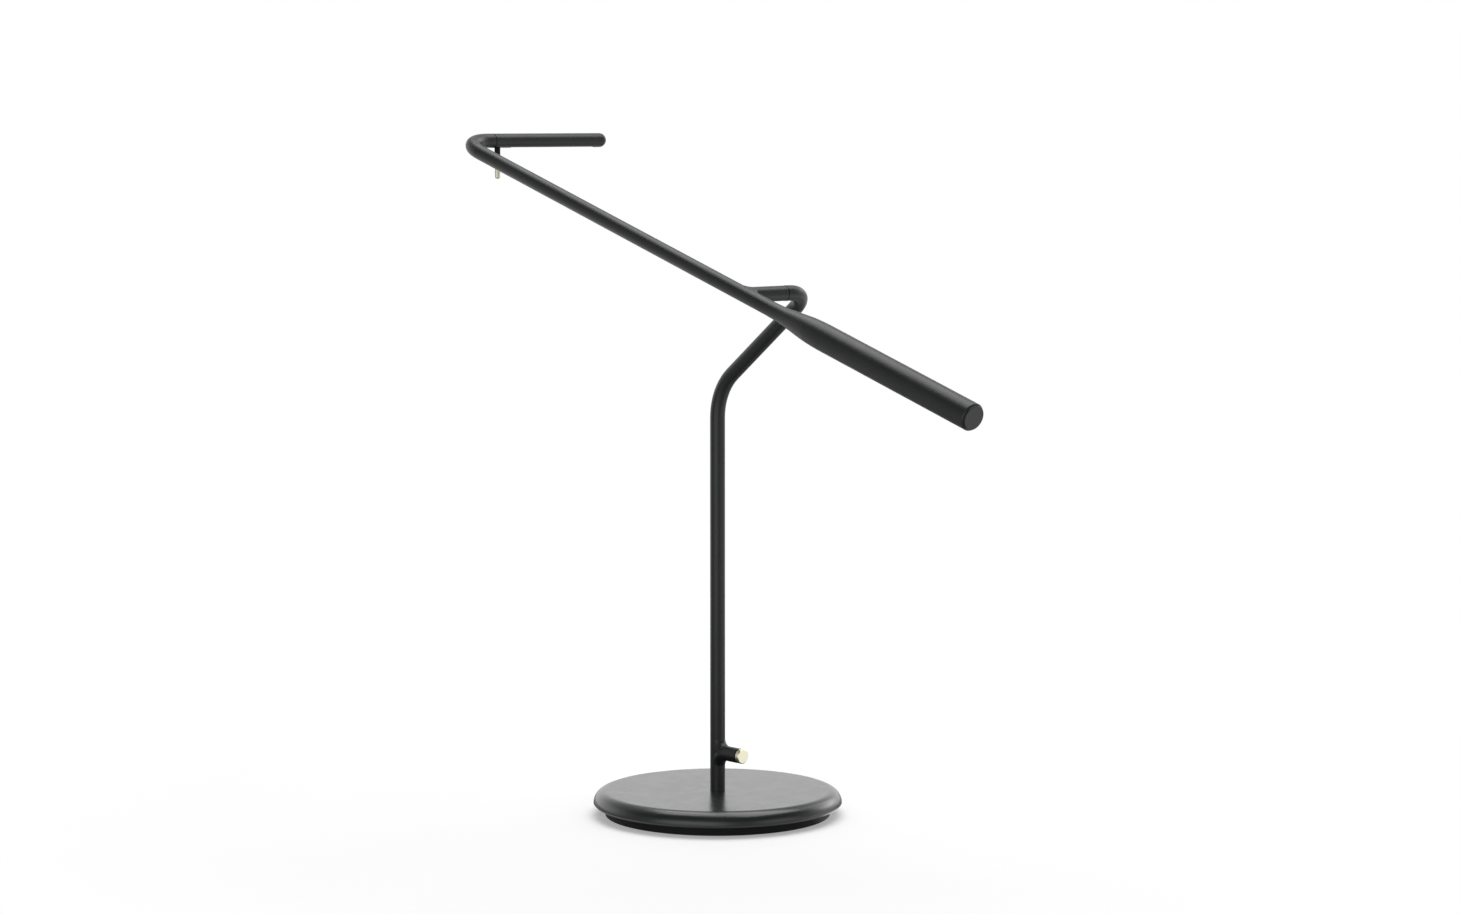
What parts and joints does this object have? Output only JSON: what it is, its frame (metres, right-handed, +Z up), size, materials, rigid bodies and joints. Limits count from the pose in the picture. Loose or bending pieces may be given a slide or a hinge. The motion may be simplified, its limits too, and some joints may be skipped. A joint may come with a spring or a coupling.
{
  "type": "counterweight balance desk lamp",
  "caption": "Desk lamp of thin round tube: weighted disc base, bent stem, tilting arm that swells into a counterweight, and a short tubular head turned by a brass pin.",
  "frame": {"origin": "centre of the base's underside, on the table", "axes": "+Z up along the stem, +X to the side that the counterweight and the button point to, +Y from the arm's plane to the stem's plane and along the lamp head"},
  "size_m": [0.6044, 0.2, 0.545],
  "materials": {
    "graphite_paint": "satin powder coat, charcoal grey",
    "dark_cap_paint": "satin, dark grey",
    "black_plastic": "fine moulded grain",
    "black_rubber": "matte",
    "polished_brass": "fine brushed, clear",
    "zinc_steel": "zinc plated",
    "black_acetal": "machined",
    "white_acetal": "machined",
    "green_board": "solder mask",
    "bare_aluminium": "extruded",
    "yellow_phosphor": "cast silicone",
    "opal_plastic": "frosted",
    "lead_sleeve": "smooth sleeve"
  },
  "bodies": {
    "stand": {"base_disc": "graphite_paint", "base_pan": "black_plastic", "anti_slip_pad": "black_rubber", "pan_screws": "zinc_steel", "cable_grommet": "black_rubber", "dimmer_board": "green_board", "stem_tube": "graphite_paint", "stem_ferrule": "zinc_steel", "stem_washer": "zinc_steel", "stem_nut": "zinc_steel", "stem_wire": "lead_sleeve", "switch_wire": "lead_sleeve", "switch_guide": "black_acetal", "switch_body": "black_plastic", "pivot_insert": "zinc_steel", "pivot_axle": "zinc_steel", "pivot_washer": "black_acetal"},
    "button": {"push_button": "polished_brass"},
    "arm": {"arm_tube": "graphite_paint", "pivot_bush": "black_acetal", "pivot_set_screw": "zinc_steel", "counterweight_cap": "dark_cap_paint", "counterweight_slug": "zinc_steel", "counterweight_spacer": "white_acetal", "arm_wire": "lead_sleeve", "head_axle": "zinc_steel", "head_washer": "black_acetal"},
    "head": {"head_tube": "graphite_paint", "head_bush": "black_acetal", "pin_collar": "black_plastic", "grip_pin": "polished_brass", "heat_spreader": "bare_aluminium", "led_board": "bare_aluminium", "led_chips": "yellow_phosphor", "diffuser": "opal_plastic", "head_wire": "lead_sleeve"}
  },
  "joints": [
    {"name": "arm_tilt", "type": "hinge", "parent": "stand", "child": "arm", "pos_m": [0.1074, -0.048, 0.4245], "axis": [0, 1, 0], "range_deg": [-60, 50]},
    {"name": "head_turn", "type": "hinge", "parent": "arm", "child": "head", "pos_m": [-0.24602, -0.0242, 0.539], "axis": [0, 1, 0], "range_deg": [-90, 90]},
    {"name": "button_press", "type": "slide", "parent": "stand", "child": "button", "axis": [-1, 0, 0], "range_m": [0, 0.001], "stiffness_N_per_m": 1500}
  ]
}
